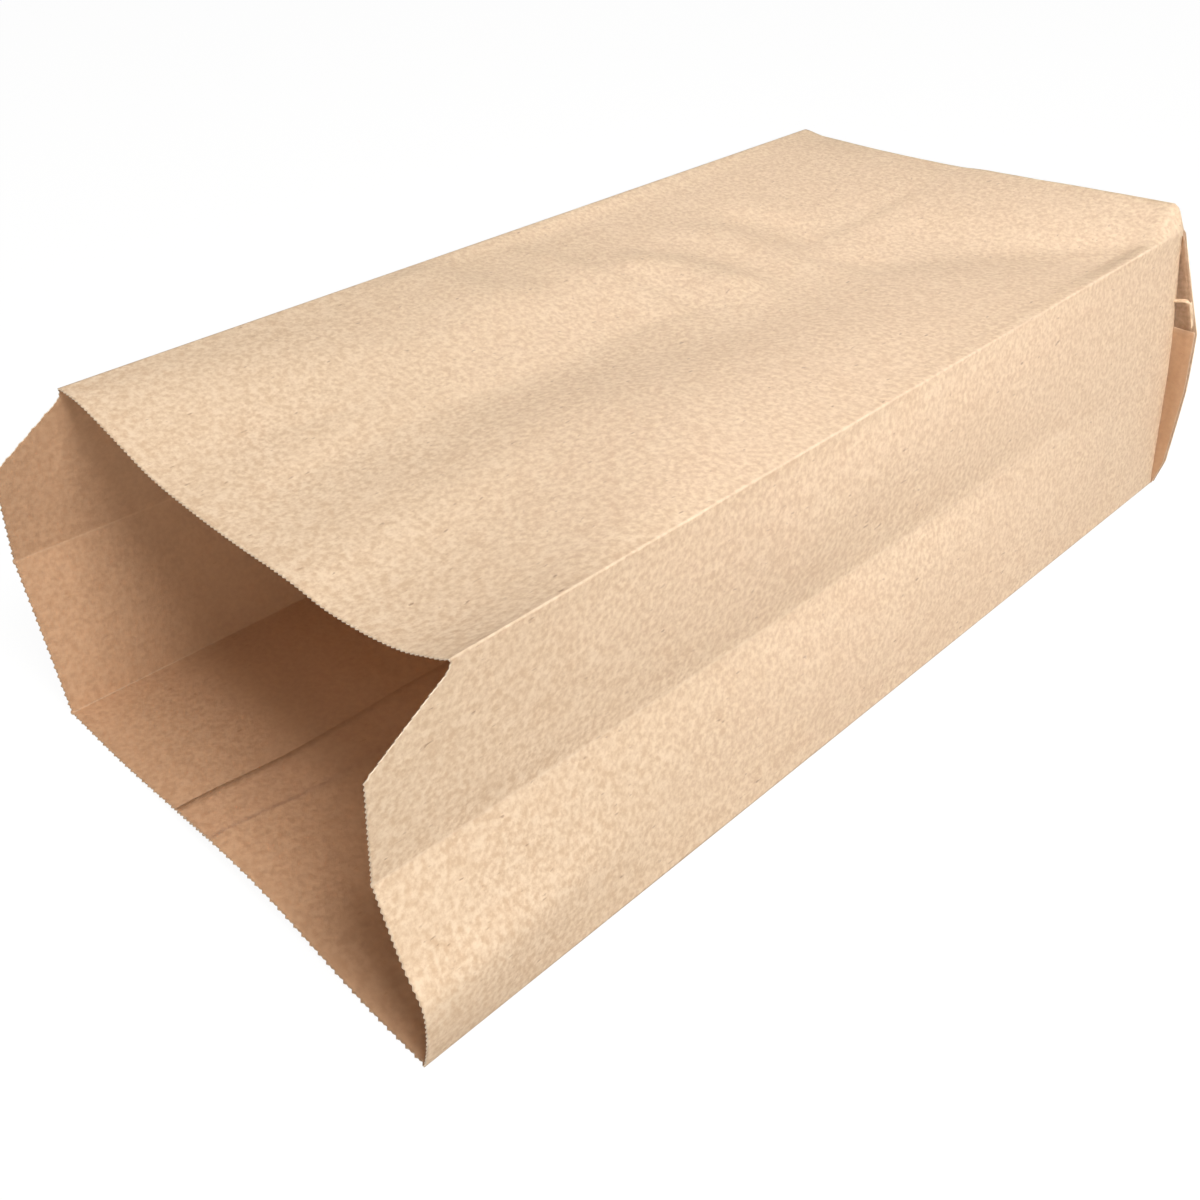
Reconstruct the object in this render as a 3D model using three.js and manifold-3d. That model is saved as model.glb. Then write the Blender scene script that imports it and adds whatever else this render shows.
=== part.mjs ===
// Brown paper lunch bag, lying on one wide panel with its mouth open.
// One sheet of kraft paper, folded into a gusseted tube and closed by a folded block bottom.
// Millimetres, +Z up. The mouth faces -Y, the base faces +Y, the floor panel rests on Z = 0.

import * as THREE from "three";
import { mergeVertices } from "three/addons/utils/BufferGeometryUtils.js";
import Module from "manifold-3d";

// Driving dimensions of the sheet
const panelWidth = 130; // wide panel, between its two long folds
const gussetDepth = 79; // gusset, between the two wide panels
const bagLength = 273.5; // long lip to base
const paper = 0.2; // thickness of one layer

// Mouth cut: the upper lip is shorter, and both gussets are cut on a slant up to it
const lipStep = 17; // upper lip behind the long lip
const slantStart = 15; // below the upper folds, where the slanted cut leaves the long lip
const slantEnd = 2; // below the upper folds, where it reaches the short lip
const toothPitch = 1.27; // pinked edge
const toothDepth = 0.35;

// How far the upper folds hang below the full gusset depth
const droop = { mouthRight: 3.7, mouthLeft: 3.2, baseRight: 3.7, baseLeft: 0.8 };

// Sideways shift of the gusset creases and upper folds from the floor folds below them
const mouthShift = { creaseRight: -8.7, foldRight: -5.6, creaseLeft: -9.2, foldLeft: -3.9 };
const baseShift = { creaseRight: -3.1, foldRight: -8.1, creaseLeft: -2.2, foldLeft: -5 };

// Soft forms of the opened bag: depth, how far each reaches from the edge it starts at, and
// the shares across its panel where it begins, is full, starts to fade and is gone
const lipSag = { depth: 8.4, reach: 110, across: [0, 0.27, 0.62, 0.97] };
const footBulge = { depth: 4.9, reach: 70, across: [0, 0.38, 0.38, 0.95] };
const floorLift = { depth: 4.2, reach: 32, across: [0.1, 0.58, 0.58, 0.92] };

// The top panel rises towards the base, up to a crushed corner beside its right fold. The rise
// reaches furthest from the given share across the panel on.
const backRise = { depth: 6.5, reach: 90, reachAtCorner: 18, furthestFrom: 0.6, corner: 3 };

// Folded block bottom
const flapLap = 9; // each end flap runs past the middle of the base
const earStickOut = [
  [0.1, 3.0],
  [0.25, 4.6],
  [0.41, 6.2],
  [0.55, 6.8],
  [0.64, 7.0],
  [0.81, 3.8],
  [1, 0.4],
]; // tucked ear beyond the right wall, as [share of the wall's height, width]

// Glued side seam, a lap inside the floor panel
const seamOffset = -17.5; // seam edge from the middle of the floor panel
const seamLap = 14;
const seamInset = 0.8; // lap short of the first and last row of facets, and of its two columns

// Facets
const columns = { beforeSeam: 6, seam: 2, afterSeam: 7, halfGusset: 5, top: 16 };
const rowShares = [0.01, 0.045, 0.09, 0.155, 0.235, 0.345, 0.49, 0.64, 0.75, 0.835, 0.9, 0.955];
const sharpestMitre = 0.6;
const weldDistance = 1e-4;

const halfWidth = panelWidth / 2;
const halfGusset = gussetDepth / 2;
const mid = paper / 2;
const press = paper / 4; // glued layers sink into each other, to become one solid
const seamShares = [halfWidth + seamOffset, halfWidth + seamOffset + seamLap].map(
  (across) => across / panelWidth,
);

function smooth(from, to, value) {
  return THREE.MathUtils.smoothstep(value, from, to);
}

function mix(from, to, share) {
  return THREE.MathUtils.lerp(from, to, share);
}

function swell([begins, full, fades, gone], share) {
  return smooth(begins, full, share) * (1 - smooth(fades, gone, share));
}

// Fold points of the section at one end of the bag, as [x, z] on the middle of the paper
function foldPoints(shift, dropRight, dropLeft) {
  const heightRight = gussetDepth - dropRight;
  const heightLeft = gussetDepth - dropLeft;
  return [
    [-halfWidth, mid],
    [halfWidth, mid],
    [halfWidth + shift.creaseRight, heightRight / 2],
    [halfWidth + shift.foldRight, heightRight - mid],
    [-halfWidth + shift.foldLeft, heightLeft - mid],
    [-halfWidth + shift.creaseLeft, heightLeft / 2],
  ];
}

const mouthFolds = foldPoints(mouthShift, droop.mouthRight, droop.mouthLeft);
const baseFolds = foldPoints(baseShift, droop.baseRight, droop.baseLeft);

// Panels in their order round the tube; share 0 of each lies at its first fold
const panelSpans = [panelWidth, halfGusset, halfGusset, panelWidth, halfGusset, halfGusset];
const [floor, rightLower, rightUpper, top, leftUpper] = panelSpans.keys();

// Distance of the cut edge behind the long lip, at a share across one panel
function cutSetback(panel, share) {
  if (panel === top) return lipStep;
  if (panel !== rightUpper && panel !== leftUpper) return 0;
  const belowFold = halfGusset * (panel === rightUpper ? 1 - share : share);
  const slant = (slantStart - belowFold) / (slantStart - slantEnd);
  return lipStep * THREE.MathUtils.clamp(slant, 0, 1);
}

// Height that the base end of the top panel rises by
function riseAtBase(share) {
  const cornerShare = backRise.corner / panelWidth;
  if (share < cornerShare) return backRise.depth * (share / cornerShare);
  return backRise.depth * (1 - (share - cornerShare) / (1 - cornerShare));
}

// Point on the middle of the paper: share across a panel, distance behind the long lip
function sheetPoint(panel, share, distance) {
  const next = (panel + 1) % panelSpans.length;
  const along = distance / bagLength;
  const fromX = mix(mouthFolds[panel][0], baseFolds[panel][0], along);
  const fromZ = mix(mouthFolds[panel][1], baseFolds[panel][1], along);
  const toX = mix(mouthFolds[next][0], baseFolds[next][0], along);
  const toZ = mix(mouthFolds[next][1], baseFolds[next][1], along);
  const point = new THREE.Vector3(mix(fromX, toX, share), distance, mix(fromZ, toZ, share));
  if (panel === floor) {
    const fade = 1 - smooth(0, floorLift.reach, distance);
    point.z += floorLift.depth * swell(floorLift.across, share) * fade;
  }
  if (panel === rightLower) {
    const fade = 1 - smooth(0, footBulge.reach, distance);
    point.x += footBulge.depth * swell(footBulge.across, share) * fade;
  }
  if (panel === top) {
    const fade = 1 - smooth(0, lipSag.reach, distance - lipStep);
    point.z -= lipSag.depth * swell(lipSag.across, share) * fade;
    const widening = smooth(0, backRise.furthestFrom, share);
    const reach = mix(backRise.reachAtCorner, backRise.reach, widening);
    point.z += riseAtBase(share) * (1 - smooth(0, reach, bagLength - distance));
  }
  return point;
}

function evenShares(from, to, count) {
  return Array.from({ length: count }, (_, i) => mix(from, to, i / count));
}

function toothShares(panel) {
  return evenShares(0, 1, 2 * Math.round(panelSpans[panel] / toothPitch));
}

function facetShares(panel) {
  if (panel === top) return evenShares(0, 1, columns.top);
  if (panel !== floor) return evenShares(0, 1, columns.halfGusset);
  return [
    ...evenShares(0, seamShares[0], columns.beforeSeam),
    ...evenShares(seamShares[0], seamShares[1], columns.seam),
    ...evenShares(seamShares[1], 1, columns.afterSeam),
  ];
}

// One row of points round the whole tube, with a point on every fold
function sheetRow(sharesOf, distanceOf) {
  return panelSpans.flatMap((_, panel) =>
    sharesOf(panel).map((share, index) => ({
      place: panel + share,
      point: sheetPoint(panel, share, distanceOf(panel, share, index)),
    })),
  );
}

// Rows of points from the pinked edge to the base
function sheetRows() {
  const rim = sheetRow(toothShares, (panel, share, index) => {
    const tooth = index % 2 === 0 ? 0 : toothDepth;
    return cutSetback(panel, share) + tooth;
  });
  const inner = [...rowShares, 1].map((along) =>
    sheetRow(facetShares, (panel, share) => mix(cutSetback(panel, share), bagLength, along)),
  );
  return [rim, ...inner];
}

// Triangles between two closed rows with different numbers of points
function stitch(rowA, startA, rowB, startB) {
  const triangles = [];
  let a = 0;
  let b = 0;
  const placeA = (i) => (i < rowA.length ? rowA[i].place : panelSpans.length);
  const placeB = (i) => (i < rowB.length ? rowB[i].place : panelSpans.length);
  while (a < rowA.length || b < rowB.length) {
    const ia = startA + (a % rowA.length);
    const ib = startB + (b % rowB.length);
    const stepA = b >= rowB.length || (a < rowA.length && placeA(a + 1) <= placeB(b + 1));
    if (stepA) {
      a += 1;
      triangles.push([ia, startA + (a % rowA.length), ib]);
    } else {
      b += 1;
      triangles.push([ia, startB + (b % rowB.length), ib]);
    }
  }
  return triangles;
}

// Directions in which the paper's two faces lie from its middle, mitred at the folds
function faceOffsets(points, triangles) {
  const sums = points.map(() => new THREE.Vector3());
  const normals = triangles.map(([i, j, k]) => {
    const edge = points[j].clone().sub(points[i]);
    const other = points[k].clone().sub(points[i]);
    return edge.cross(other).normalize();
  });
  triangles.forEach((corners, index) => {
    corners.forEach((corner, turn) => {
      const here = points[corner];
      const to = points[corners[(turn + 1) % 3]].clone().sub(here);
      const fro = points[corners[(turn + 2) % 3]].clone().sub(here);
      sums[corner].addScaledVector(normals[index], to.angleTo(fro));
    });
  });
  const offsets = sums.map((sum) => sum.normalize());
  const lean = points.map(() => 1);
  triangles.forEach((corners, index) => {
    corners.forEach((corner) => {
      lean[corner] = Math.min(lean[corner], offsets[corner].dot(normals[index]));
    });
  });
  return offsets.map((offset, i) => offset.multiplyScalar(mid / Math.max(lean[i], sharpestMitre)));
}

function solidFromTriangles(wasm, points, triangles) {
  const geometry = new THREE.BufferGeometry();
  const flat = points.flatMap((point) => [point.x, point.y, point.z]);
  geometry.setAttribute("position", new THREE.Float32BufferAttribute(flat, 3));
  geometry.setIndex(triangles.flat());
  return solidFromGeometry(wasm, geometry);
}

function solidFromGeometry(wasm, geometry) {
  const bare = geometry.clone();
  bare.deleteAttribute("normal");
  bare.deleteAttribute("uv");
  const merged = mergeVertices(bare, weldDistance);
  return new wasm.Manifold(
    new wasm.Mesh({
      numProp: 3,
      vertProperties: Float32Array.from(merged.attributes.position.array),
      triVerts: Uint32Array.from(merged.index.array),
    }),
  );
}

// The folded tube, a thin wall open at the mouth and at the base
function tube(wasm) {
  const rows = sheetRows();
  const points = rows.flat().map((station) => station.point);
  const starts = [];
  rows.reduce((start, row) => {
    starts.push(start);
    return start + row.length;
  }, 0);
  const inward = [];
  for (let i = 0; i + 1 < rows.length; i += 1) {
    inward.push(...stitch(rows[i], starts[i], rows[i + 1], starts[i + 1]));
  }
  const offsets = faceOffsets(points, inward);
  const count = points.length;
  const inner = points.map((point, i) => point.clone().add(offsets[i]));
  const outer = points.map((point, i) => point.clone().sub(offsets[i]));
  const triangles = [];
  inward.forEach(([i, j, k]) => {
    triangles.push([i, j, k], [count + i, count + k, count + j]);
  });
  const close = (start, length, flip) => {
    for (let i = 0; i < length; i += 1) {
      const here = start + i;
      const next = start + ((i + 1) % length);
      const quad = [here, next, count + next, count + here];
      if (flip) quad.reverse();
      triangles.push([quad[0], quad[2], quad[1]], [quad[0], quad[3], quad[2]]);
    }
  };
  close(starts[0], rows[0].length, false);
  close(starts.at(-1), rows.at(-1).length, true);
  return solidFromTriangles(wasm, [...inner, ...outer], triangles);
}

// A leaf of paper parallel to the base, from its outline in [x, z] and its two y limits
function leaf(wasm, outline, near, far) {
  const shape = new THREE.Shape(outline.map(([x, z]) => new THREE.Vector2(x, z)));
  const geometry = new THREE.ExtrudeGeometry(shape, { depth: far - near, bevelEnabled: false });
  geometry.rotateX(Math.PI / 2);
  geometry.translate(0, far, 0);
  return solidFromGeometry(wasm, geometry);
}

// Point of the tucked ear's right edge, at a share of the wall's height
function earPoint(share) {
  const [, floorRight, , topRight] = baseFolds;
  const next = Math.max(earStickOut.findIndex(([end]) => end >= share), 1);
  const [start, low] = earStickOut[next - 1];
  const [end, high] = earStickOut[next];
  const width = mix(low, high, (share - start) / (end - start));
  return [mix(floorRight[0], topRight[0], share) + width, mix(floorRight[1], topRight[1], share)];
}

// Outline of the base: floor edge, tucked ear, crushed corner, top edge and left wall
function baseOutline() {
  const [floorLeft, floorRight, , , topLeft, creaseLeft] = baseFolds;
  const ear = earStickOut.map(([share]) => earPoint(share));
  const crown = sheetPoint(top, backRise.corner / panelWidth, bagLength);
  return [
    [floorLeft[0] - mid, floorLeft[1] - mid],
    [floorRight[0] + mid, floorRight[1] - mid],
    ...ear,
    [crown.x + mid, crown.z + mid],
    [topLeft[0] - mid, topLeft[1] + mid],
    [creaseLeft[0] - mid, creaseLeft[1]],
  ];
}

// Layer of the lower flap on the near side of the ear, from the floor to its free edge
function earFlapOutline(edgeZ) {
  const [, floorRight, creaseRight, topRight] = baseFolds;
  const edgeShare = edgeZ / topRight[1];
  const shares = earStickOut.map(([share]) => share).filter((share) => share < edgeShare);
  const overCrease = (edgeZ - creaseRight[1]) / (topRight[1] - creaseRight[1]);
  const wallX = mix(creaseRight[0], topRight[0], overCrease);
  return [floorRight, ...shares.map(earPoint), earPoint(edgeShare), [wallX, edgeZ], creaseRight];
}

// End flap, with ends cut in at 45 degrees from its fold to its free edge
function flapOutline(left, right, foldZ, edgeZ) {
  const cutIn = Math.abs(edgeZ - foldZ);
  return [
    [left, foldZ],
    [right, foldZ],
    [right - cutIn, edgeZ],
    [left + cutIn, edgeZ],
  ];
}

// Folded block bottom: tucked gusset ends inside, then the upper flap, then the lower flap
function bottom(wasm) {
  const flapLength = halfGusset + flapLap;
  const upperFold = gussetDepth - droop.baseRight;
  const upperEdge = upperFold - flapLength;
  const tuckFar = bagLength + paper;
  const flapFar = tuckFar + paper;
  const lapFar = flapFar + paper;
  const tuck = leaf(wasm, baseOutline(), bagLength - paper, tuckFar);
  const upperFlap = leaf(
    wasm,
    flapOutline(baseFolds[4][0] + paper, baseFolds[3][0] - paper, upperFold, upperEdge),
    tuckFar - press,
    flapFar,
  );
  // The lower flap lies on the tuck up to the upper flap's edge, and laps over it from there
  const halfFold = halfWidth - paper;
  const lowerNear = leaf(
    wasm,
    flapOutline(-halfFold, halfFold, 0, upperEdge),
    tuckFar - press,
    flapFar,
  );
  const lapStart = upperEdge - paper;
  const halfLap = halfFold - lapStart;
  const lowerLap = leaf(
    wasm,
    flapOutline(-halfLap, halfLap, lapStart, flapLength),
    flapFar - press,
    lapFar,
  );
  const earFlap = leaf(
    wasm,
    earFlapOutline(flapLength),
    bagLength - 2 * paper,
    bagLength - paper + press,
  );
  return tuck.add(earFlap).add(upperFlap).add(lowerNear).add(lowerLap);
}

// Glued lap that joins the sheet into a tube, lying inside the floor panel
function seam(wasm) {
  const sideInset = seamInset / panelWidth;
  const endInset = seamInset / bagLength;
  const [left, right] = [seamShares[0] + sideInset, seamShares[1] - sideInset];
  const across = [...evenShares(left, right, columns.seam), right];
  const along = [
    rowShares[0] + endInset,
    ...rowShares.slice(1, -1),
    rowShares.at(-1) - endInset,
  ];
  const width = across.length;
  const middle = along.flatMap((share) =>
    across.map((side) => sheetPoint(floor, side, share * bagLength)),
  );
  const count = middle.length;
  const lower = middle.map(({ x, y, z }) => new THREE.Vector3(x, y, z + mid - press));
  const upper = lower.map(({ x, y, z }) => new THREE.Vector3(x, y, z + paper));
  const triangles = [];
  for (let row = 0; row + width < count; row += width) {
    for (let i = row; i + 1 < row + width; i += 1) {
      const far = i + width;
      triangles.push([i, far, i + 1], [i + 1, far, far + 1]);
      const [a, b, c, d] = [i, i + 1, far + 1, far].map((corner) => corner + count);
      triangles.push([a, b, d], [b, c, d]);
    }
  }
  const last = count - width;
  const edge = [];
  for (let i = 0; i + 1 < width; i += 1) edge.push(i);
  for (let row = 0; row < last; row += width) edge.push(row + width - 1);
  for (let i = width - 1; i > 0; i -= 1) edge.push(last + i);
  for (let row = last; row > 0; row -= width) edge.push(row);
  edge.forEach((here, i) => {
    const next = edge[(i + 1) % edge.length];
    triangles.push([here, next, count + next], [here, count + next, count + here]);
  });
  return solidFromTriangles(wasm, [...lower, ...upper], triangles);
}

function geometryFromSolid(solid) {
  const mesh = solid.getMesh();
  const geometry = new THREE.BufferGeometry();
  geometry.setAttribute("position", new THREE.BufferAttribute(mesh.vertProperties, 3));
  geometry.setIndex(new THREE.BufferAttribute(mesh.triVerts, 1));
  return geometry;
}

const wasm = await Module();
wasm.setup();

const sheet = geometryFromSolid(tube(wasm).add(bottom(wasm)).add(seam(wasm)));

// Origin under the middle of the bag's box
sheet.computeBoundingBox();
const box = sheet.boundingBox;
sheet.translate(-(box.min.x + box.max.x) / 2, -(box.min.y + box.max.y) / 2, -box.min.z);
sheet.computeVertexNormals();

const kraft = new THREE.MeshStandardMaterial({
  color: 0xd9b68c,
  roughness: 0.85,
  metalness: 0,
});

const bag = new THREE.Group();
const paperBag = new THREE.Mesh(sheet, kraft);
paperBag.name = "paper_bag";
bag.add(paperBag);

export default bag;
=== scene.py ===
import math

import bmesh
import bpy
from mathutils import Matrix, Vector, noise


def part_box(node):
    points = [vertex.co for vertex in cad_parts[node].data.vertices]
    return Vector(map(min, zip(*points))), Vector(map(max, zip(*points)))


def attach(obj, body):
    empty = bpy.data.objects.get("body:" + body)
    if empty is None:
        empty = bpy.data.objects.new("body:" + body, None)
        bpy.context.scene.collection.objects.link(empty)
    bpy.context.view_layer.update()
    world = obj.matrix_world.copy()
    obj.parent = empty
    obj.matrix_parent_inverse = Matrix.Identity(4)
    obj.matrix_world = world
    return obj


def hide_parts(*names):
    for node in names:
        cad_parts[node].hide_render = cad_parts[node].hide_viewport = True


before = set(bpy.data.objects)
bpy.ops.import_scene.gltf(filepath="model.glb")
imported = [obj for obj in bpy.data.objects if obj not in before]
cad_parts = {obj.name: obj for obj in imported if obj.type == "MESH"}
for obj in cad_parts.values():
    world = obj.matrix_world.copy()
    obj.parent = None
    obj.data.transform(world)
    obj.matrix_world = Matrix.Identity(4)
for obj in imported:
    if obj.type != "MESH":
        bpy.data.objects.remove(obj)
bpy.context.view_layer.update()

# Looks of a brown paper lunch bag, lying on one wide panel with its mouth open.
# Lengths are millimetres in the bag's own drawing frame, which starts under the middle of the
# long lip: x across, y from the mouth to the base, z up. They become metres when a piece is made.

METRES = 0.001

# Sheet, as in the CAD model
PANEL_WIDTH = 130.0
GUSSET_DEPTH = 79.0
BAG_LENGTH = 273.5
PAPER = 0.2
HALF_WIDTH = PANEL_WIDTH / 2
HALF_GUSSET = GUSSET_DEPTH / 2
LIP_STEP = 17.0
SLANT_START = 15.0
SLANT_END = 2.0
TOOTH_PITCH = 1.27
TOOTH_DEPTH = 0.35
FLAP_LAP = 9.0

# Glued seam across the floor panel: inner edge and lap, both ends as shares of the panel, the
# upper layer's lift, and the width over which that lift eases out
SEAM_EDGE = HALF_WIDTH - 17.5
SEAM_LAP = 14.0
SEAM_START = SEAM_EDGE / PANEL_WIDTH
SEAM_END = (SEAM_EDGE + SEAM_LAP) / PANEL_WIDTH
SEAM_STEP = 0.21
SEAM_EASE = 2.5

# Panels in their order round the tube; fold number N starts panel number N
FLOOR, RIGHT_LOWER, RIGHT_UPPER, TOP, LEFT_UPPER, LEFT_LOWER = range(6)
SPANS = [PANEL_WIDTH, HALF_GUSSET, HALF_GUSSET, PANEL_WIDTH, HALF_GUSSET, HALF_GUSSET]

# Direction in which the ridges of each panel rise
RIDGES_RISE = [
    Vector((0, 0, 1)),
    Vector((1, 0, 0)),
    Vector((1, 0, 0)),
    Vector((0, 0, 1)),
    Vector((-1, 0, 0)),
    Vector((-1, 0, 0)),
]

# How far the left crease stands out at the mouth, which is the bag's leftmost point
LEFT_CREASE_LEAN = 9.2

# Where the drawing frame lies in the part's frame
cad_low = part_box("paper_bag")[0]
LEFT_CREASE_REACH = HALF_WIDTH + LEFT_CREASE_LEAN + PAPER / 2
ORIGIN = Vector((cad_low.x / METRES + LEFT_CREASE_REACH, cad_low.y / METRES, 0))

# Photo camera: focal length and centre in pixels of the 1200 pixel frame, its sensor in
# millimetres, the nearest thing it sees in metres, its place in the drawing frame, its turns
FOCAL_PIXELS = 1291.3
CENTRE_ROW = 520.0
FRAME_PIXELS = 1200.0
SENSOR_WIDTH = 36
CLIP_START = 0.01
CAMERA_PLACE = Vector((183.45, -74.24, 195.78))
CAMERA_TURN = math.radians(45.21)
CAMERA_DOWN = math.radians(32.23)
CAMERA_ROLL = math.radians(-0.495)


def place(point):
    """A point of the drawing frame, in metres in the part's frame."""
    return (point + ORIGIN) * METRES


def mix(start, end, share):
    """From start to end in even steps."""
    return start + (end - start) * share


def smooth(start, end, value):
    """0 below start, 1 above end, and soft between."""
    share = min(max((value - start) / (end - start), 0.0), 1.0)
    return share * share * (3 - 2 * share)


def swell(stations, share):
    """Rises from the first station to the second, and falls from the third to the fourth."""
    begins, full, fades, gone = stations
    return smooth(begins, full, share) * (1 - smooth(fades, gone, share))


def curve_at(points, value):
    """Height of a smooth curve through points, at one place along it."""
    if value <= points[0][0]:
        return points[0][1]
    if value >= points[-1][0]:
        return points[-1][1]
    index = next(i for i, point in enumerate(points) if point[0] > value) - 1

    def slope(i):
        before = points[max(i - 1, 0)]
        after = points[min(i + 1, len(points) - 1)]
        return (after[1] - before[1]) / (after[0] - before[0])

    (start, low), (end, high) = points[index], points[index + 1]
    step = end - start
    part = (value - start) / step
    return (
        low * (1 + 2 * part) * (1 - part) ** 2
        + step * slope(index) * part * (1 - part) ** 2
        + high * part * part * (3 - 2 * part)
        + step * slope(index + 1) * part * part * (part - 1)
    )


def straight_at(points, value):
    """Height of straight lines through points, at one place along them."""
    for (start, low), (end, high) in zip(points, points[1:]):
        if start <= value <= end:
            return mix(low, high, (value - start) / (end - start))
    return points[-1][1]


def folds(shift, drop_right, drop_left):
    """Fold points of one end of the bag, as x and z.

    The shifts are those of the right crease, the two upper folds and the left crease from the
    floor's folds. The drops say how far each upper fold lies under the gusset's full depth."""
    right = GUSSET_DEPTH - drop_right
    left = GUSSET_DEPTH - drop_left
    return [
        (-HALF_WIDTH, PAPER / 2),
        (HALF_WIDTH, PAPER / 2),
        (HALF_WIDTH + shift[0], right / 2),
        (HALF_WIDTH + shift[1], right - PAPER / 2),
        (-HALF_WIDTH + shift[2], left - PAPER / 2),
        (-HALF_WIDTH + shift[3], left / 2),
    ]


RIGHT_DROP = 3.7
MOUTH_FOLDS = folds((-8.7, -5.6, -3.9, -LEFT_CREASE_LEAN), RIGHT_DROP, 3.2)
BASE_FOLDS = folds((-3.1, -8.1, -5.0, -2.2), RIGHT_DROP, 0.8)

# Top panel's lip, as height over the straight line between its folds
LIP_LINE = [
    (0.0, 0.0),
    (0.02, -1.6),
    (0.05, -3.3),
    (0.09, -5.2),
    (0.14, -6.7),
    (0.2, -8.0),
    (0.27, -8.7),
    (0.35, -8.1),
    (0.5, -8.3),
    (0.62, -7.8),
    (0.72, -6.8),
    (0.81, -4.1),
    (0.88, -1.8),
    (0.94, -0.3),
    (1.0, 0.0),
]
# How far behind the lip its waves die out, at shares across the panel
LIP_REACH = [(0, 60), (0.3, 95), (0.6, 100), (0.8, 60), (1, 25)]

# Right gusset's rim, outwards from the straight line between its folds
FOOT_LINE = [
    (0.0, 0.0),
    (0.12, 2.0),
    (0.3, 4.3),
    (0.42, 5.0),
    (0.5, 4.1),
    (0.6, 2.6),
    (0.74, 1.5),
    (0.93, 0.3),
    (1.0, 0.0),
]
FOOT_REACH = 70.0

# Floor panel's lip, lifted off the table, and the shares across where the lift comes and goes
FLOOR_LIFT = 4.2
FLOOR_REACH = 32.0
FLOOR_ACROSS = (0.1, 0.58, 0.58, 0.92)

# Top panel's rise to the crushed corner at the base: height, reach from the base on the left
# and at the corner, the share across where the first is reached, and how hollow the ramp is
RISE = 6.5
RISE_REACH = 80.0
CORNER_REACH = 18.0
RISE_REACH_SHARE = 0.6
RISE_HOLLOW = 0.3
CORNER_SHARE = 3.0 / PANEL_WIDTH


def cut_setback(panel, share):
    """How far the cut edge lies behind the long lip."""
    if panel == TOP:
        return LIP_STEP
    if panel not in (RIGHT_UPPER, LEFT_UPPER):
        return 0.0
    below_fold = HALF_GUSSET * (1 - share if panel == RIGHT_UPPER else share)
    slant = (SLANT_START - below_fold) / (SLANT_START - SLANT_END)
    return LIP_STEP * min(max(slant, 0.0), 1.0)


def rise_at_base(share):
    """Height of the rise along the base's edge, highest just inside the right fold."""
    if share < CORNER_SHARE:
        return RISE * share / CORNER_SHARE
    return RISE * (1 - (share - CORNER_SHARE) / (1 - CORNER_SHARE))


# Widths from its line at which a wrinkle has died out
WRINKLE_REACH = 2.2


class Wrinkle:
    """A soft ridge or furrow along a line of (across, behind) points of one panel.

    Across runs from the panel's left fold, behind runs from the long lip. Height is over the
    paper, and the two widths are to the left and to the right of the line's direction."""

    def __init__(self, line, height, left, right):
        self.line = [Vector(point) for point in line]
        self.height = height
        self.left = left
        self.right = right
        reach = WRINKLE_REACH * max(left, right)
        xs = [point.x for point in self.line]
        ys = [point.y for point in self.line]
        self.low = Vector((min(xs) - reach, min(ys) - reach))
        self.high = Vector((max(xs) + reach, max(ys) + reach))

    def at(self, across, behind):
        """Height at one place of the panel."""
        if not (self.low.x < across < self.high.x and self.low.y < behind < self.high.y):
            return 0.0
        here = Vector((across, behind))
        nearest = None
        for start, end in zip(self.line, self.line[1:]):
            step = end - start
            share = min(max((here - start).dot(step) / step.length_squared, 0.0), 1.0)
            away = here - (start + step * share)
            if nearest is None or away.length < nearest[0]:
                turn = (step.x * away.y - step.y * away.x) / (step.length * away.length + 1e-9)
                nearest = (away.length, turn)
        distance, turn = nearest
        width = mix(self.right, self.left, 0.5 + 0.5 * turn)
        return self.height * math.exp(-((distance / width) ** 2))


# Sag of the whole top panel, and the furrow of its crushed corner. The finer wrinkles of that
# panel are placed where the photo shows them on a flat one.
TOP_SAG = Wrinkle([(62, 135), (72, 215)], -5.5, 56, 40)
CORNER_FURROW = Wrinkle([(116, 268.5), (119.5, 267), (123, 264.5)], -0.7, 1.6, 2.4)
TOP_WRINKLES = [
    Wrinkle([(90, 224), (108, 234), (122, 242)], -2.0, 18, 18),
    Wrinkle([(0, 276), (56, 276)], -0.8, 5, 7),
    Wrinkle([(10, 102), (20, 102), (36, 104)], 1.5, 16, 14),
    Wrinkle([(4, 110), (20, 110), (34, 111)], 0.5, 4, 8),
    Wrinkle([(40, 110), (42, 132)], 1.7, 22, 16),
    Wrinkle([(16, 135), (40, 136), (66, 136)], 0.9, 3.5, 12),
    Wrinkle([(44, 150), (52, 155), (58, 157), (68, 157)], 1.7, 8, 9),
    Wrinkle([(70, 155), (90, 156), (106, 158)], 0.9, 8, 16),
    Wrinkle([(42, 180), (66, 180)], 1.0, 9, 10),
    Wrinkle([(44, 198), (54, 199), (60, 196)], -1.5, 6, 12),
    Wrinkle([(71, 186), (78, 190), (86, 192)], -0.8, 7, 3.5),
    Wrinkle([(68, 30), (66, 50), (65, 70), (67, 92), (69, 104)], -0.9, 5, 14),
    Wrinkle([(67, 114), (69, 128), (71, 140)], -0.7, 8, 3),
    Wrinkle([(66, 152), (69, 160)], 0.25, 2.5, 2.5),
    Wrinkle([(61, 197), (62, 215), (60, 235), (58, 262)], -0.4, 6, 2.5),
    Wrinkle([(35, 240), (35, 260)], -0.2, 3, 2),
    Wrinkle([(48, 36), (51, 45), (52, 54)], -0.3, 4, 2),
    Wrinkle([(48, 57), (56, 58), (66, 58)], 0.4, 7, 6),
    Wrinkle([(98, 60), (96, 90), (98, 118)], 1.5, 18, 24),
    Wrinkle([(1, 171), (6, 173)], 0.35, 1.2, 1.2),
]
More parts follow.
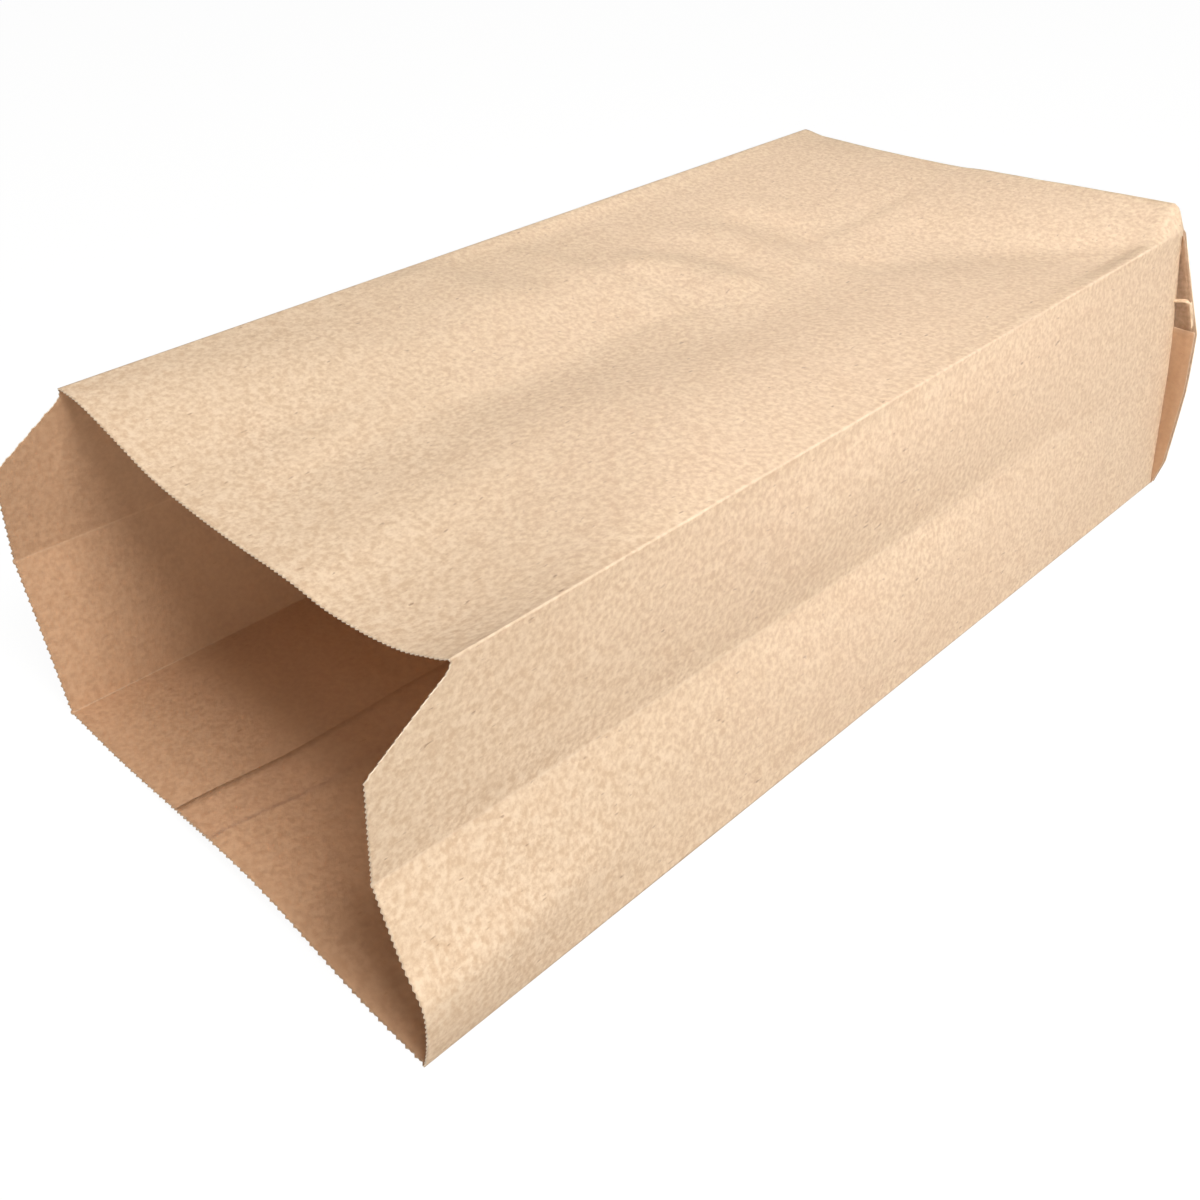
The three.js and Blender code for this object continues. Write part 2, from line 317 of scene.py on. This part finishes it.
SIDE_WRINKLES = [
    Wrinkle([(2, 238), (20, 244), (38, 246)], -0.5, 5, 4),
    Wrinkle([(42, 224), (60, 222)], 0.35, 3, 4),
    Wrinkle([(50, 125), (56, 145)], -0.3, 6, 5),
    Wrinkle([(36, 206), (40, 207)], 0.3, 2, 2),
    Wrinkle([(10, 60), (14, 90)], -0.3, 8, 8),
]
FLOOR_WRINKLES = [
    Wrinkle([(26.5, 15.5), (29, 28), (31, 37)], 0.5, 0.9, 1.6),
    Wrinkle([(10, 14), (14, 34)], -0.4, 3, 3),
    Wrinkle([(40, 60), (70, 66), (96, 60)], 0.7, 9, 9),
]
LEFT_WRINKLES = [
    Wrinkle([(30, 30), (26, 60)], 0.35, 6, 6),
    Wrinkle([(52, 34), (50, 70)], -0.35, 6, 6),
]
WRINKLES = [
    FLOOR_WRINKLES,
    SIDE_WRINKLES,
    SIDE_WRINKLES,
    TOP_WRINKLES,
    LEFT_WRINKLES,
    LEFT_WRINKLES,
]


def across_from_left(panel, share):
    """Distance across a panel, or across a whole gusset from its lower fold."""
    if panel == FLOOR:
        return PANEL_WIDTH * share
    if panel == TOP:
        return PANEL_WIDTH * (1 - share)
    if panel == RIGHT_LOWER:
        return HALF_GUSSET * share
    if panel == RIGHT_UPPER:
        return HALF_GUSSET * (1 + share)
    if panel == LEFT_UPPER:
        return HALF_GUSSET * (2 - share)
    return HALF_GUSSET * (1 - share)


# Unevenness of handled paper, as the size of its waves and their height, how much longer they
# are along the bag, and how far apart the panels' noises lie
WAVES = [(46.0, 0.4), (17.0, 0.22), (7.0, 0.06)]
WAVE_STRETCH = 1.5
PANEL_NOISE_STEP = 7.3

# Outward swell of each half of the right side
BULGE = 1.4

# Width beside a fold that its stiffness keeps plain, and the floor's share of the relief
FOLD_STIFFNESS = 7.0
FLOOR_SHARE = 0.35


def seen_on_flat_panel(across, point, sunk):
    """Where the photo's camera sees a point that lies under or over the flat top panel."""
    sight = CAMERA_PLACE - point
    nearer = -sunk / sight.z
    return across + nearer * sight.x, point.y + nearer * sight.y


def relief(panel, share, point):
    """Height of the paper's wrinkles and waves over its plain form."""
    across = across_from_left(panel, share)
    height = 0.0
    behind = point.y
    if panel == TOP:
        height = TOP_SAG.at(across, point.y)
        height += CORNER_FURROW.at(across, point.y)
        across, behind = seen_on_flat_panel(across, point, height + top_form(share, point.y))
    height += sum(wrinkle.at(across, behind) for wrinkle in WRINKLES[panel])
    for size, depth in WAVES:
        place_in_noise = Vector((point.x, point.y / WAVE_STRETCH, point.z)) / size
        height += depth * noise.noise(place_in_noise + Vector((panel * PANEL_NOISE_STEP, 0, 0)))
    if panel in (RIGHT_LOWER, RIGHT_UPPER):
        height += BULGE * math.sin(math.pi * share) * math.sin(math.pi * point.y / BAG_LENGTH) ** 2
    to_fold = SPANS[panel] * min(share, 1 - share)
    height *= smooth(0, FOLD_STIFFNESS, to_fold)
    if panel == FLOOR:
        height *= FLOOR_SHARE
    return height


def top_form(share, distance):
    """Height of the top panel's wavy lip and crushed corner over the flat panel."""
    reach = curve_at(LIP_REACH, share)
    height = curve_at(LIP_LINE, share) * (1 - smooth(0, reach, distance - LIP_STEP))
    reach = mix(CORNER_REACH, RISE_REACH, smooth(0, RISE_REACH_SHARE, share))
    ramp = max(1 - (BAG_LENGTH - distance) / reach, 0)
    return height + rise_at_base(share) * mix(ramp, ramp * ramp, RISE_HOLLOW)


def sheet_point(panel, share, distance):
    """A point on the middle of the paper."""
    following = (panel + 1) % 6
    along = distance / BAG_LENGTH
    from_x = mix(MOUTH_FOLDS[panel][0], BASE_FOLDS[panel][0], along)
    from_z = mix(MOUTH_FOLDS[panel][1], BASE_FOLDS[panel][1], along)
    to_x = mix(MOUTH_FOLDS[following][0], BASE_FOLDS[following][0], along)
    to_z = mix(MOUTH_FOLDS[following][1], BASE_FOLDS[following][1], along)
    point = Vector((mix(from_x, to_x, share), distance, mix(from_z, to_z, share)))
    if panel == FLOOR:
        fade = 1 - smooth(0, FLOOR_REACH, distance)
        point.z += FLOOR_LIFT * swell(FLOOR_ACROSS, share) * fade
    if panel == RIGHT_LOWER:
        point.x += curve_at(FOOT_LINE, share) * (1 - smooth(0, FOOT_REACH, distance))
    if panel == TOP:
        point.z += top_form(share, distance)
    return point


def paper_point(panel, share, distance):
    """A point on the paper with its wrinkles."""
    point = sheet_point(panel, share, distance)
    return point + RIDGES_RISE[panel] * relief(panel, share, point)


# Columns of the sheet: a narrow one on each side of a fold, and coarse ones where a panel is
# seen least
FOLD_STRIP = 0.4
COARSE_PANELS = (FLOOR, LEFT_UPPER, LEFT_LOWER)


def column_shares(panel, start, end):
    """Shares across a panel from one place to another, one or two teeth apart."""
    span = SPANS[panel]
    pitch = TOOTH_PITCH * (2 if panel in COARSE_PANELS else 1)
    count = max(round((end - start) * span / pitch), 1)
    shares = [mix(start, end, i / count) for i in range(count + 1)]
    strip = FOLD_STRIP / span
    if start == 0:
        shares.insert(1, strip)
    if end == 1:
        shares.insert(-1, 1 - strip)
    return shares


def sheet_columns():
    """Columns from the seam's inner edge, round the tube, to its outer edge below that."""
    columns = [(FLOOR, share) for share in column_shares(FLOOR, SEAM_START, 1)]
    for panel in (RIGHT_LOWER, RIGHT_UPPER, TOP, LEFT_UPPER, LEFT_LOWER):
        columns += [(panel, share) for share in column_shares(panel, 0, 1)[1:]]
    columns += [(FLOOR, share) for share in column_shares(FLOOR, 0, SEAM_END)[1:]]
    return columns


# Rows of the sheet, as distances from the rim, narrow at both ends
RIM_ROWS = [0, 0.7, 1.6, 2.8, 4.2, 6]
BASE_ROWS = [269, 271, 272.5, 273.5]
MIDDLE_ROWS = 118


def sheet_rows():
    """Shares of the way from the rim to the base."""
    middle = [mix(RIM_ROWS[-1], BASE_ROWS[0], i / MIDDLE_ROWS) for i in range(1, MIDDLE_ROWS)]
    return [distance / BAG_LENGTH for distance in RIM_ROWS + middle + BASE_ROWS]


def grid(columns, rows):
    """A flat bmesh grid with a layer for the folds' wear and painted highlight, and its vertices
    by column and row.
    """
    bm = bmesh.new()
    crease = bm.verts.layers.float.new("crease_wear_and_highlight")
    bmesh.ops.create_grid(bm, x_segments=columns - 1, y_segments=rows - 1, size=0.5)
    table = {}
    for vertex in bm.verts:
        column = round((vertex.co.x + 0.5) * (columns - 1))
        row = round((vertex.co.y + 0.5) * (rows - 1))
        table[column, row] = vertex
    return bm, table, crease


# Materials of a piece: first that of the side its faces look to, then the cut edge and the back
CUT_EDGE_SLOT = 1
BACK_SLOT = 2


def finish_mesh(bm, name, materials, thickness=PAPER):
    """Turns a bmesh into a piece with the paper's thickness."""
    for face in bm.faces:
        face.smooth = True
    mesh = bpy.data.meshes.new(name)
    bm.to_mesh(mesh)
    bm.free()
    piece = bpy.data.objects.new(name, mesh)
    bpy.context.scene.collection.objects.link(piece)
    for material in materials:
        mesh.materials.append(material)
    solid = piece.modifiers.new("paper", "SOLIDIFY")
    solid.thickness = thickness * METRES
    solid.offset = 0
    solid.use_even_offset = True
    solid.material_offset_rim = CUT_EDGE_SLOT
    solid.material_offset = BACK_SLOT
    return piece


def pink_rim(bm, rim):
    """Cuts teeth into the rim's edges, each notch pointing back from the straight cut."""
    for start, end in zip(rim, rim[1:]):
        parts = 2 * round((end.co - start.co).length / METRES / TOOTH_PITCH)
        vertex = start
        for left in range(parts, 1, -1):
            edge = bm.edges.get((vertex, end))
            _, vertex = bmesh.utils.edge_split(edge, vertex, 1 / left)
            if left % 2 == 0:
                vertex.co.y += TOOTH_DEPTH * METRES


def make_sheet(materials):
    """The folded tube, with its seam lap, pinked rim and creases."""
    columns = sheet_columns()
    rows = sheet_rows()
    bm, table, crease = grid(len(columns), len(rows))
    half = len(columns) // 2
    for (column, row), vertex in table.items():
        panel, share = columns[column]
        distance = mix(cut_setback(panel, share), BAG_LENGTH, rows[row])
        point = paper_point(panel, share, distance)
        if panel == FLOOR and column < half:
            lap = 1 - smooth(SEAM_END, SEAM_END + SEAM_EASE / PANEL_WIDTH, share)
            point.z += SEAM_STEP * lap
        vertex.co = place(point)
        # Folds get the pale crease colour: wear, and a painted highlight along the fold
        vertex[crease] = 1.0 if share in (0.0, 1.0) else 0.0
    pink_rim(bm, [table[column, 0] for column in range(len(columns))])
    return finish_mesh(bm, "kraft_sheet", materials)


# Tucked leaf that closes the base: how far its top stays under the fold, the share of its
# height where it starts to follow the panel's crown, and the share across where that ends
TUCK_BELOW_FOLD = 0.9
CROWN_START = 0.75
CROWN_END = 0.97

# Unevenness that the base's layers share: height, size of its waves, place of its slice
# through the noise, and the width along the edges where it fades
BASE_SWELL = 0.7
BASE_SWELL_SIZE = 23.0
BASE_SWELL_SLICE = 7.0
BASE_SWELL_FADE = 12.0

# Right side of the tucked ear, outwards from the wall, at shares of the wall's height, and how
# far the ear lies back, over the width of a soft fold
EAR = [
    (0, 0.3),
    (0.1, 3.0),
    (0.25, 4.6),
    (0.41, 6.2),
    (0.55, 6.8),
    (0.64, 7.0),
    (0.81, 3.8),
    (1, 0.4),
]
EAR_RECESS = 1.3
EAR_FOLD = 3.0

# Leaves before the ear: how far they come forward, and their unevenness as the ear's edge shows it
LEAF_FORWARD = 0.5
LEAF_WAVE = 0.25
LEAF_WAVES_ACROSS = 2
LEAF_WAVE_LENGTH = 9.0
LEAF_WAVE_SLICE = 5.0

# Lower leaf and upper strip: left edges, from the wall outwards, at heights
EAR_FLAP_TOP = 48.5
EAR_FLAP_LEFT = [(0, -0.6), (EAR_FLAP_TOP, -0.6)]
EAR_STRIP_GAP = 0.6
EAR_STRIP_TOP = 74.0
EAR_STRIP_LEFT = [(49, 6.2), (53, 5.2), (56.5, 4.4), (58.5, 3.9), (66, 1.2), (EAR_STRIP_TOP, -0.4)]

# Curled lip between them: its course in x and z, its depth, its curl forward and its place back
EAR_LIP_X = [(0, 58.6), (0.3, 62.4), (0.5, 63.8), (0.75, 64.8), (1, 65.8)]
EAR_LIP_Z = [(0, 55.6), (0.3, 56.6), (0.5, 56.2), (0.75, 53.4), (1, 50.0)]
EAR_LIP_DEPTH = 0.9
EAR_LIP_CURL = 1.1
EAR_LIP_BACK = 0.3

# Flaps of the base: length, distance between layers, and the share of the lower flap's length
# over which it climbs over the upper one
FLAP_LENGTH = HALF_GUSSET + FLAP_LAP
LAYER = 0.38
CLIMB = 0.2

BASE_COLUMNS = 60
BASE_ROWS_UP = 40
FLAP_ROWS = 26
LEAF_COLUMNS = 25
LEAF_ROWS = 33


def base_top(share_from_left):
    """A point of the base's top edge."""
    return paper_point(TOP, 1 - share_from_left, BAG_LENGTH)


def wall_at(up):
    """Right edge of the base, at a share of its height."""
    return mix(HALF_WIDTH, BASE_FOLDS[TOP][0], up)


def ear_edge(up):
    """Right edge of the tucked ear, at a share of the base's height."""
    return wall_at(up) + straight_at(EAR, up)


def base_swell(x, z):
    """Unevenness that the base's layers share, so that they stay apart; none at the edges."""
    from_edge = min(z, BASE_FOLDS[TOP][1] - z, HALF_WIDTH - abs(x))
    wave = noise.noise(Vector((x, BASE_SWELL_SLICE, z)) / BASE_SWELL_SIZE)
    return BASE_SWELL * wave * smooth(0, BASE_SWELL_FADE, from_edge)


def tuck_point(across, up):
    """A point of the tucked leaf that closes the bag's base."""
    right_top = BASE_FOLDS[TOP]
    left_crease = BASE_FOLDS[LEFT_LOWER][0]
    left = curve_at([(0, -HALF_WIDTH), (0.5, left_crease), (1, BASE_FOLDS[LEFT_UPPER][0])], up)
    height = up * (right_top[1] - TUCK_BELOW_FOLD)
    point = Vector((mix(left, ear_edge(up), across), BAG_LENGTH, height))
    crown = base_top(across).z - right_top[1]
    point.z += crown * smooth(CROWN_START, 1, up) * (1 - smooth(CROWN_END, 1.0, across))
    point.y += base_swell(point.x, point.z)
    point.y += EAR_RECESS * smooth(wall_at(up) - EAR_FOLD, wall_at(up), point.x)
    return point


def leaf_point(left_edge, low, high, across, up):
    """A point of a leaf that lies before the tucked one, out to the ear's edge."""
    height = mix(low, high, up)
    share = height / BASE_FOLDS[TOP][1]
    x = mix(wall_at(share) + straight_at(left_edge, height), ear_edge(share), across)
    in_noise = Vector((across * LEAF_WAVES_ACROSS, height / LEAF_WAVE_LENGTH, LEAF_WAVE_SLICE))
    y = BAG_LENGTH - LEAF_FORWARD + LEAF_WAVE * noise.noise(in_noise)
    return Vector((x, y, height))


def ear_flap_point(across, up):
    return leaf_point(EAR_FLAP_LEFT, PAPER, EAR_FLAP_TOP, across, up)


def ear_strip_point(across, up):
    return leaf_point(EAR_STRIP_LEFT, EAR_FLAP_TOP + EAR_STRIP_GAP, EAR_STRIP_TOP, across, up)


def ear_lip_point(across, up):
    """The curled edge in the ear's fold, from the wall out to the strip and down."""
    forward = LEAF_FORWARD + EAR_LIP_CURL * math.sin(math.pi * up)
    x = straight_at(EAR_LIP_X, across)
    z = straight_at(EAR_LIP_Z, across) + EAR_LIP_DEPTH * (up - 0.5)
    return Vector((x, BAG_LENGTH + EAR_LIP_BACK - forward, z))


def make_tuck(materials):
    """The tucked leaf behind the base's flaps, two papers thick."""
    bm, table, _ = grid(BASE_COLUMNS, BASE_ROWS_UP)
    for (column, row), vertex in table.items():
        across = column / (BASE_COLUMNS - 1)
        up = row / (BASE_ROWS_UP - 1)
        vertex.co = place(tuck_point(across, up))
    return finish_mesh(bm, "tucked_ends", materials, 2 * PAPER)


def make_flap(name, point_at, materials):
    """One of the base's two flaps, pale along the fold that it starts from with wear and a painted
    highlight.
    """
    bm, table, crease = grid(BASE_COLUMNS, FLAP_ROWS)
    for (column, row), vertex in table.items():
        across = column / (BASE_COLUMNS - 1)
        down = row / (FLAP_ROWS - 1)
        vertex.co = place(point_at(across, down))
        # The fold's row gets the pale crease colour: wear and a painted highlight
        vertex[crease] = 1.0 if row == 0 else 0.0
    return finish_mesh(bm, name, materials)


def make_leaf(name, point_at, materials):
    """A small leaf before the ear."""
    bm, table, _ = grid(LEAF_COLUMNS, LEAF_ROWS)
    for (column, row), vertex in table.items():
        vertex.co = place(point_at(column / (LEAF_COLUMNS - 1), row / (LEAF_ROWS - 1)))
    return finish_mesh(bm, name, materials)


def upper_flap_point(across, down):
    length = FLAP_LENGTH * down
    x = mix(BASE_FOLDS[LEFT_UPPER][0] + length, BASE_FOLDS[TOP][0] - length, across)
    height = mix(base_top(across).z, GUSSET_DEPTH - RIGHT_DROP - FLAP_LENGTH, down)
    return Vector((x, BAG_LENGTH + LAYER + base_swell(x, height), height))


def lower_flap_point(across, down):
    length = FLAP_LENGTH * down
    x = mix(-HALF_WIDTH + length, HALF_WIDTH - length, across)
    y = BAG_LENGTH + mix(LAYER, 2 * LAYER, smooth(0, CLIMB, down)) + base_swell(x, length)
    return Vector((x, y, PAPER / 2 + length))


# Materials


class Shade:
    """An output socket of a material, with the maths that the paper needs."""

    def __init__(self, paint, socket):
        self.paint = paint
        self.socket = socket

    def maths(self, operation, first, second):
        return self.paint.node("ShaderNodeMath", {"operation": operation}, [first, second])

    def __add__(self, other):
        return self.maths("ADD", self, other)

    def __radd__(self, other):
        return self.maths("ADD", other, self)

    def __mul__(self, other):
        return self.maths("MULTIPLY", self, other)

    def __rmul__(self, other):
        return self.maths("MULTIPLY", other, self)


class Paint:
    """A new material and the nodes that are added to it."""

    def __init__(self, name):
        self.material = bpy.data.materials.new(name)
        self.material.use_nodes = True
        self.tree = self.material.node_tree
        self.shader = self.tree.nodes["Principled BSDF"]

    def node(self, kind, settings, inputs, output=0):
        """Adds a node, with its settings first, and gives one of its outputs."""
        node = self.tree.nodes.new(kind)
        for name, value in settings.items():
            setattr(node, name, value)
        pairs = inputs.items() if isinstance(inputs, dict) else enumerate(inputs)
        for name, value in pairs:
            self.join(value, node.inputs[name])
        return Shade(self, node.outputs[output])

    def join(self, value, socket):
        """Links a shade to a socket, or sets the socket to a value."""
        if isinstance(value, Shade):
            self.tree.links.new(value.socket, socket)
        else:
            socket.default_value = value

    def ramp(self, value, span):
        """0 below the span's first value, 1 above its second, and even between."""
        low, high = span
        return self.node(
            "ShaderNodeMapRange",
            {"clamp": True},
            {"Value": value, "From Min": low, "From Max": high, "To Min": 0.0, "To Max": 1.0},
        )

    def blend(self, factor, first, second):
        """Mixes two colours."""
        return self.node(
            "ShaderNodeMix",
            {"data_type": "RGBA"},
            {0: factor, 6: first, 7: second},
            output=2,
        )

    def mottle(self, coordinates, scale, detail=2.0, roughness=0.5):
        """Noise, with its scale in waves to the metre."""
        return self.node(
            "ShaderNodeTexNoise",
            {},
            {"Vector": coordinates, "Scale": scale, "Detail": detail, "Roughness": roughness},
        )

    def show_mixed(self, share, other):
        """Shows the main shader with a share of another one mixed in."""
        main = Shade(self, self.shader.outputs[0])
        mixed = self.node("ShaderNodeMixShader", {}, {0: share, 1: main, 2: other})
        self.join(mixed, self.tree.nodes["Material Output"].inputs["Surface"])


def colour(red, green, blue):
    """An sRGB colour, 0 to 255, as Blender's linear one."""

    def linear(value):
        value /= 255
        return value / 12.92 if value <= 0.04045 else ((value + 0.055) / 1.055) ** 2.4

    return (linear(red), linear(green), linear(blue), 1.0)


# Tones of the paper, mid, pale and deep: outside; inside, darker as the paper's rougher inner side
# and as painted shade for the bag's dim interior; and on the tucked ends, darker still as painted
# shade on the ear's faces
KRAFT = [colour(234, 209, 179), colour(251, 230, 202), colour(221, 193, 161)]
# Inside tones: partly the inner side's own colour, partly painted shade for the dim inside of the
# bag
INSIDE_TONE_AND_SHADE = [colour(202, 176, 152), colour(216, 191, 167), colour(190, 162, 138)]
# Tucked-end tones: painted shade for the ear's faces, which lie in shadow
TUCK_PAINTED_SHADE = [colour(186, 155, 129), colour(201, 171, 145), colour(172, 140, 113)]
FLECK = colour(158, 120, 90)
# Pale colour of the folds: wear, and a painted highlight along them
CREASE_WEAR_AND_HIGHLIGHT = colour(247, 228, 204)
CUT_EDGE = colour(250, 234, 212)

# Light that the paper lets through, as shares outside and inside, and its colour
SHINE_THROUGH = 0.27
INSIDE_SHINE_THROUGH = 0.6
GLOW = colour(250, 229, 205)

# Noises of the paper, in waves to the metre, and how much longer the fibres are along the bag
GRAIN = 820
CLOUD = 95
FIBRE = 1500
FLECK_PLACES = 420
CUT_FIBRE = 1400
FIBRE_STRETCH = (1.0, 0.22, 1.0)

# Values of those noises between which a tone, a cloud, a fleck or a pale fibre comes up
GRAIN_RANGE = (0.37, 0.63)
CLOUD_RANGE = (0.3, 0.75)
FLECK_FIBRE_RANGE = (0.66, 0.74)
FLECK_PLACES_RANGE = (0.58, 0.66)
CUT_FIBRE_RANGE = (0.3, 0.7)

# Strengths of what lies over the grain's colour
CLOUD_STRENGTH = 0.22
FLECK_STRENGTH = 0.7
WEAR_AND_HIGHLIGHT_STRENGTH = 0.4
GRAIN_HEIGHT = 0.7
FIBRE_HEIGHT = 0.3
BUMP_STRENGTH = 0.35
BUMP_METRES = 0.0002

PAPER_ROUGHNESS = 0.72
PAPER_SPECULAR = 0.3
DULL_ROUGHNESS = 0.9


def kraft_colour(paint, grain, fibre, place_on_bag, tones):
    """Colour of kraft paper: grain, faint clouds, brown flecks and pale folds, worn and with a
    painted highlight.
    """
    mid, pale, deep = tones
    cloud = paint.mottle(place_on_bag, CLOUD, 3.0, 0.55)
    fleck_places = paint.mottle(place_on_bag, FLECK_PLACES, 1.0)
    fleck = paint.ramp(fibre, FLECK_FIBRE_RANGE) * paint.ramp(fleck_places, FLECK_PLACES_RANGE)
    base = paint.blend(paint.ramp(grain, GRAIN_RANGE), deep, pale)
    base = paint.blend(paint.ramp(cloud, CLOUD_RANGE) * CLOUD_STRENGTH, base, mid)
    base = paint.blend(fleck * FLECK_STRENGTH, base, FLECK)
    # Pale folds: wear, and a painted highlight along each fold
    wear_and_highlight = paint.node("ShaderNodeAttribute", {"attribute_name": "crease_wear_and_highlight"}, [], output="Fac")
    return paint.blend(wear_and_highlight * WEAR_AND_HIGHLIGHT_STRENGTH, base, CREASE_WEAR_AND_HIGHLIGHT)


def kraft_paint(name, tones, shine_through):
    """Kraft paper in three tones, mid, pale and deep, that lets a share of the light through."""
    paint = Paint(name)
    place_on_bag = paint.node("ShaderNodeTexCoord", {}, [], output="Object")
    grain = paint.mottle(place_on_bag, GRAIN, 4.0, 0.62)
    along = paint.node(
        "ShaderNodeMapping", {}, {"Vector": place_on_bag, "Scale": FIBRE_STRETCH}
    )
    fibre = paint.mottle(along, FIBRE, 1.0)
    base = kraft_colour(paint, grain, fibre, place_on_bag, tones)
    paint.join(base, paint.shader.inputs["Base Color"])
    paint.shader.inputs["Roughness"].default_value = PAPER_ROUGHNESS
    paint.shader.inputs["Specular IOR Level"].default_value = PAPER_SPECULAR
    height = grain * GRAIN_HEIGHT + fibre * FIBRE_HEIGHT
    bump = paint.node(
        "ShaderNodeBump",
        {},
        {"Strength": BUMP_STRENGTH, "Distance": BUMP_METRES, "Height": height},
    )
    paint.join(bump, paint.shader.inputs["Normal"])
    through = paint.node("ShaderNodeBsdfTranslucent", {}, {"Color": GLOW})
    paint.show_mixed(shine_through, through)
    return paint.material


def cut_edge_paint():
    """The pale, fibrous edge of cut paper."""
    paint = Paint("cut_edge")
    place_on_bag = paint.node("ShaderNodeTexCoord", {}, [], output="Object")
    fibre = paint.ramp(paint.mottle(place_on_bag, CUT_FIBRE), CUT_FIBRE_RANGE)
    paint.join(paint.blend(fibre, KRAFT[1], CUT_EDGE), paint.shader.inputs["Base Color"])
    paint.shader.inputs["Roughness"].default_value = DULL_ROUGHNESS
    return paint.material


# Stage, light and camera

# Floor: half its side, how far it lies under the bag, in metres, its grey for the light that it
# gives back, and, as the camera sees it, its white and its share of shadow
FLOOR_HALF = 3.0
FLOOR_BELOW = 0.0003
FLOOR_TONE = (0.6, 0.6, 0.6, 1.0)
FLOOR_WHITE = 1.09
FLOOR_SHADOW = 0.14
WORLD_LIGHT = 0.36
LAMP_TINT = (1.0, 0.97, 0.93)


def make_stage():
    """A white floor that keeps the bag's shadow."""
    bm = bmesh.new()
    bmesh.ops.create_grid(bm, x_segments=1, y_segments=1, size=FLOOR_HALF)
    mesh = bpy.data.meshes.new("floor")
    bm.to_mesh(mesh)
    bm.free()
    floor = bpy.data.objects.new("floor", mesh)
    bpy.context.scene.collection.objects.link(floor)
    floor.location.z = -FLOOR_BELOW
    paint = Paint("floor")
    paint.shader.inputs["Base Color"].default_value = FLOOR_TONE
    paint.shader.inputs["Roughness"].default_value = DULL_ROUGHNESS
    paint.shader.inputs["Specular IOR Level"].default_value = 0.0
    rays = paint.node("ShaderNodeLightPath", {}, [], output="Is Camera Ray")
    white = paint.node("ShaderNodeEmission", {}, {"Strength": FLOOR_WHITE})
    paint.show_mixed(rays * (1 - FLOOR_SHADOW), white)
    mesh.materials.append(paint.material)


def make_world():
    """Soft light from all round, which the camera sees as white."""
    world = bpy.data.worlds.new("studio")
    bpy.context.scene.world = world
    world.use_nodes = True
    tree = world.node_tree
    background = tree.nodes["Background"]
    rays = tree.nodes.new("ShaderNodeLightPath")
    strength = tree.nodes.new("ShaderNodeMapRange")
    strength.inputs["To Min"].default_value = WORLD_LIGHT
    strength.inputs["To Max"].default_value = 1.0
    tree.links.new(rays.outputs["Is Camera Ray"], strength.inputs["Value"])
    tree.links.new(strength.outputs[0], background.inputs["Strength"])
    background.inputs["Color"].default_value = (1, 1, 1, 1)


def make_lamp(name, place_from_bag, size, power, target=(0, 0, 0), spread=180):
    """A square soft lamp, in metres from the middle of the bag, that looks at a place on it."""
    data = bpy.data.lights.new(name, "AREA")
    data.shape = "SQUARE"
    data.size = size
    data.energy = power
    data.color = LAMP_TINT
    data.spread = math.radians(spread)
    lamp = bpy.data.objects.new(name, data)
    bpy.context.scene.collection.objects.link(lamp)
    lamp.location = Vector(place_from_bag)
    sight = Vector(target) - lamp.location
    lamp.rotation_euler = sight.to_track_quat("-Z", "Y").to_euler()


def make_camera():
    """The camera solved from the bag's folds in the photo."""
    data = bpy.data.cameras.new("photo_camera")
    data.sensor_width = SENSOR_WIDTH
    data.lens = data.sensor_width * FOCAL_PIXELS / FRAME_PIXELS
    data.shift_y = (CENTRE_ROW - FRAME_PIXELS / 2) / FRAME_PIXELS
    data.clip_start = CLIP_START
    camera = bpy.data.objects.new("photo_camera", data)
    turn = Matrix.Rotation(CAMERA_TURN, 4, "Z")
    tip = Matrix.Rotation(math.pi / 2 - CAMERA_DOWN, 4, "X")
    roll = Matrix.Rotation(CAMERA_ROLL, 4, "Z")
    camera.matrix_world = Matrix.Translation(place(CAMERA_PLACE)) @ turn @ tip @ roll
    bpy.context.scene.collection.objects.link(camera)
    bpy.context.scene.camera = camera


make_camera()
paper_materials = [
    # The inside paint darkens the bag's interior: painted shade as well as the paper's inner side
    kraft_paint("kraft_inside_tone_and_shade", INSIDE_TONE_AND_SHADE, INSIDE_SHINE_THROUGH),
    cut_edge_paint(),
    kraft_paint("kraft", KRAFT, SHINE_THROUGH),
]
# The tucked ends and the ear's strip get a darker copy of the paper: painted shade
shaded_tuck_materials = [kraft_paint("kraft_tuck_painted_shade", TUCK_PAINTED_SHADE, SHINE_THROUGH)] + paper_materials[1:]
# Faces look into the bag, but for the upper flap's, so its materials come in reverse
pieces = [
    make_sheet(paper_materials),
    make_tuck(shaded_tuck_materials),
    make_flap("upper_flap", upper_flap_point, paper_materials[::-1]),
    make_flap("lower_flap", lower_flap_point, paper_materials),
    make_leaf("ear_flap", ear_flap_point, paper_materials),
    make_leaf("ear_strip", ear_strip_point, shaded_tuck_materials),
    make_leaf("ear_lip", ear_lip_point, [paper_materials[BACK_SLOT]] * 3),
]
for piece in pieces:
    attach(piece, "root")
    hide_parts("paper_bag")

make_stage()
make_world()
make_lamp("key", (0.62, -0.16, 0.9), size=0.42, power=11.3)
make_lamp("base_end", (0.66, -0.46, 0.76), 0.12, 0.05, target=(0.02, 0.08, 0.07), spread=20)

bpy.context.scene.view_settings.view_transform = "Standard"
